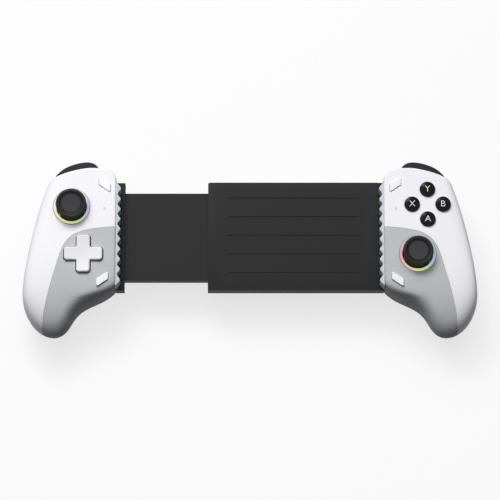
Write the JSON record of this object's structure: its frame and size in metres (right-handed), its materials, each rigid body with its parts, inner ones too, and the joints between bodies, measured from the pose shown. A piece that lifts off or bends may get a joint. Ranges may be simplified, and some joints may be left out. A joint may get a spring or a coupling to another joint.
{
  "type": "telescoping phone gamepad",
  "caption": "Telescoping gamepad that grips a phone between two handles with thumbsticks, a direction pad, buttons and triggers.",
  "frame": {"origin": "middle of the footprint, on the surface that the gamepad lies on, at the pictured width", "axes": "+X to the right, +Y away from the player towards the shoulder buttons, +Z out of the face"},
  "size_m": [0.2802, 0.1124, 0.0488],
  "materials": {
    "white_shell": "satin white moulding",
    "grey_shell": "fine satin light grey",
    "rear_shell": "fine matt texture, light grey",
    "black_plastic": "satin black",
    "button_black": "glossy black",
    "button_white": "satin white",
    "stick_rubber": "soft black rubber",
    "light_guide": "frosted translucent, lit",
    "pad_rubber": "silver-grey rubber",
    "steel": "bright steel",
    "circuit_board": "green solder mask",
    "membrane": "grey silicone",
    "battery_wrap": "foil wrap",
    "grey_acetal": "acetal"
  },
  "bodies": {
    "right_handle": {"right_front_shell": "white_shell", "right_front_panel": "grey_shell", "right_rear_shell": "rear_shell", "right_screws": "steel", "right_trigger_pin": "steel", "right_trigger_spring": "steel", "right_circuit_board": "circuit_board", "right_vibration_motor": "steel", "right_indicator": "light_guide", "right_phone_pad": "pad_rubber", "right_switches": "grey_acetal", "right_light_ring": "light_guide", "right_stick_housing": "steel", "face_button_membrane": "membrane", "charging_socket": "steel", "bridge_sleeve": "black_plastic", "bridge_cover": "black_plastic", "return_springs": "steel"},
    "left_handle": {"left_front_shell": "white_shell", "left_front_panel": "grey_shell", "left_rear_shell": "rear_shell", "left_screws": "steel", "left_trigger_pin": "steel", "left_trigger_spring": "steel", "left_circuit_board": "circuit_board", "left_vibration_motor": "steel", "left_indicator": "light_guide", "left_phone_pad": "pad_rubber", "left_switches": "grey_acetal", "left_light_ring": "light_guide", "left_stick_housing": "steel", "dpad_membrane": "membrane", "battery": "battery_wrap", "bridge_slide": "black_plastic"},
    "left_bumper": {"left_bumper": "black_plastic"},
    "left_trigger": {"left_trigger": "black_plastic"},
    "left_motor_weight": {"left_motor_weight": "steel"},
    "left_upper_button": {"left_upper_button": "button_white"},
    "left_lower_button": {"left_lower_button": "button_white"},
    "left_stick_cradle": {"left_stick_cradle": "grey_acetal"},
    "left_stick_cross_shaft": {"left_stick_cross_shaft": "grey_acetal"},
    "left_stick_lever": {"left_stick_lever": "steel", "left_stick_cap": "stick_rubber"},
    "left_stick_yoke": {"left_stick_yoke": "grey_acetal"},
    "right_bumper": {"right_bumper": "black_plastic"},
    "right_trigger": {"right_trigger": "black_plastic"},
    "right_motor_weight": {"right_motor_weight": "steel"},
    "right_upper_button": {"right_upper_button": "button_white"},
    "right_lower_button": {"right_lower_button": "button_white"},
    "right_stick_cradle": {"right_stick_cradle": "grey_acetal"},
    "right_stick_cross_shaft": {"right_stick_cross_shaft": "grey_acetal"},
    "right_stick_lever": {"right_stick_lever": "steel", "right_stick_cap": "stick_rubber"},
    "right_stick_yoke": {"right_stick_yoke": "grey_acetal"},
    "dpad_rocker": {"dpad_rocker": "grey_acetal"},
    "dpad": {"dpad": "button_white"},
    "button_a": {"button_a": "button_black"},
    "button_b": {"button_b": "button_black"},
    "button_x": {"button_x": "button_black"},
    "button_y": {"button_y": "button_black"}
  },
  "joints": [
    {"name": "bridge_slide_travel", "type": "slide", "parent": "right_handle", "child": "left_handle", "axis": [1, 0, 0], "range_m": [-0.022, 0.05], "deforming": ["return_springs"]},
    {"name": "left_bumper_press", "type": "hinge", "parent": "left_handle", "child": "left_bumper", "pos_m": [-0.097, 0.0426, 0.0351], "axis": [0, 0, 1], "range_deg": [0, 2.6], "stiffness_Nm_per_rad": 0.6, "springref_deg": -2.86},
    {"name": "left_trigger_pull", "type": "hinge", "parent": "left_handle", "child": "left_trigger", "pos_m": [-0.1067, 0.0416, 0.0276], "axis": [-1, 0, 0], "range_deg": [0, 16], "stiffness_Nm_per_rad": 0.05, "springref_deg": -20.05, "deforming": ["left_trigger_spring"]},
    {"name": "left_motor_spin", "type": "hinge", "parent": "left_handle", "child": "left_motor_weight", "pos_m": [-0.123, -0.025, 0.0196], "axis": [0, 1, 0], "continuous": true},
    {"name": "left_upper_button_press", "type": "slide", "parent": "left_handle", "child": "left_upper_button", "axis": [0, 0, -1], "range_m": [0, 0.0003], "stiffness_N_per_m": 300, "springref_m": -0.001},
    {"name": "left_lower_button_press", "type": "slide", "parent": "left_handle", "child": "left_lower_button", "axis": [0, 0, -1], "range_m": [0, 0.0003], "stiffness_N_per_m": 300, "springref_m": -0.001},
    {"name": "left_stick_click", "type": "slide", "parent": "left_handle", "child": "left_stick_cradle", "axis": [0, 0, -1], "range_m": [0, 0.0004], "stiffness_N_per_m": 2000, "springref_m": -0.001},
    {"name": "left_stick_tilt_y", "type": "hinge", "parent": "left_stick_cradle", "child": "left_stick_cross_shaft", "pos_m": [-0.11, 0.0229, 0.0325], "axis": [1, 0, 0], "range_deg": [-18, 18], "stiffness_Nm_per_rad": 0.03},
    {"name": "left_stick_tilt_x", "type": "hinge", "parent": "left_stick_cross_shaft", "child": "left_stick_lever", "pos_m": [-0.11, 0.0229, 0.0325], "axis": [0, 1, 0], "range_deg": [-18, 18], "stiffness_Nm_per_rad": 0.03},
    {"name": "left_yoke_turn", "type": "hinge", "parent": "left_handle", "child": "left_stick_yoke", "pos_m": [-0.11, 0.0229, 0.0325], "axis": [0, 1, 0], "range_deg": [-18, 18]},
    {"name": "right_bumper_press", "type": "hinge", "parent": "right_handle", "child": "right_bumper", "pos_m": [0.097, 0.0426, 0.0351], "axis": [0, 0, -1], "range_deg": [0, 2.6], "stiffness_Nm_per_rad": 0.6, "springref_deg": -2.86},
    {"name": "right_trigger_pull", "type": "hinge", "parent": "right_handle", "child": "right_trigger", "pos_m": [0.1067, 0.0416, 0.0276], "axis": [-1, 0, 0], "range_deg": [0, 16], "stiffness_Nm_per_rad": 0.05, "springref_deg": -20.05, "deforming": ["right_trigger_spring"]},
    {"name": "right_motor_spin", "type": "hinge", "parent": "right_handle", "child": "right_motor_weight", "pos_m": [0.123, -0.025, 0.0196], "axis": [0, 1, 0], "continuous": true},
    {"name": "right_upper_button_press", "type": "slide", "parent": "right_handle", "child": "right_upper_button", "axis": [0, 0, -1], "range_m": [0, 0.0003], "stiffness_N_per_m": 300, "springref_m": -0.001},
    {"name": "right_lower_button_press", "type": "slide", "parent": "right_handle", "child": "right_lower_button", "axis": [0, 0, -1], "range_m": [0, 0.0003], "stiffness_N_per_m": 300, "springref_m": -0.001},
    {"name": "right_stick_click", "type": "slide", "parent": "right_handle", "child": "right_stick_cradle", "axis": [0, 0, -1], "range_m": [0, 0.0004], "stiffness_N_per_m": 2000, "springref_m": -0.001},
    {"name": "right_stick_tilt_y", "type": "hinge", "parent": "right_stick_cradle", "child": "right_stick_cross_shaft", "pos_m": [0.103, -0.0072, 0.0325], "axis": [1, 0, 0], "range_deg": [-18, 18], "stiffness_Nm_per_rad": 0.03},
    {"name": "right_stick_tilt_x", "type": "hinge", "parent": "right_stick_cross_shaft", "child": "right_stick_lever", "pos_m": [0.103, -0.0072, 0.0325], "axis": [0, 1, 0], "range_deg": [-18, 18], "stiffness_Nm_per_rad": 0.03},
    {"name": "right_yoke_turn", "type": "hinge", "parent": "right_handle", "child": "right_stick_yoke", "pos_m": [0.103, -0.0072, 0.0325], "axis": [0, 1, 0], "range_deg": [-18, 18]},
    {"name": "dpad_rock_y", "type": "hinge", "parent": "left_handle", "child": "dpad_rocker", "pos_m": [-0.1024, -0.0074, 0.03225], "axis": [1, 0, 0], "range_deg": [-3, 3], "stiffness_Nm_per_rad": 0.2, "deforming": ["dpad_membrane"]},
    {"name": "dpad_rock_x", "type": "hinge", "parent": "dpad_rocker", "child": "dpad", "pos_m": [-0.1024, -0.0074, 0.0355], "axis": [0, 1, 0], "range_deg": [-3, 3], "stiffness_Nm_per_rad": 0.2, "deforming": ["dpad_membrane"]},
    {"name": "button_a_press", "type": "slide", "parent": "right_handle", "child": "button_a", "axis": [0, 0, -1], "range_m": [0, 0.0012], "stiffness_N_per_m": 300, "springref_m": -0.001, "deforming": ["face_button_membrane"]},
    {"name": "button_b_press", "type": "slide", "parent": "right_handle", "child": "button_b", "axis": [0, 0, -1], "range_m": [0, 0.0012], "stiffness_N_per_m": 300, "springref_m": -0.001, "deforming": ["face_button_membrane"]},
    {"name": "button_x_press", "type": "slide", "parent": "right_handle", "child": "button_x", "axis": [0, 0, -1], "range_m": [0, 0.0012], "stiffness_N_per_m": 300, "springref_m": -0.001, "deforming": ["face_button_membrane"]},
    {"name": "button_y_press", "type": "slide", "parent": "right_handle", "child": "button_y", "axis": [0, 0, -1], "range_m": [0, 0.0012], "stiffness_N_per_m": 300, "springref_m": -0.001, "deforming": ["face_button_membrane"]}
  ],
  "couplings": [
    {"joint": "left_yoke_turn", "follows": "left_stick_tilt_x", "ratio": 1},
    {"joint": "right_yoke_turn", "follows": "right_stick_tilt_x", "ratio": 1}
  ]
}
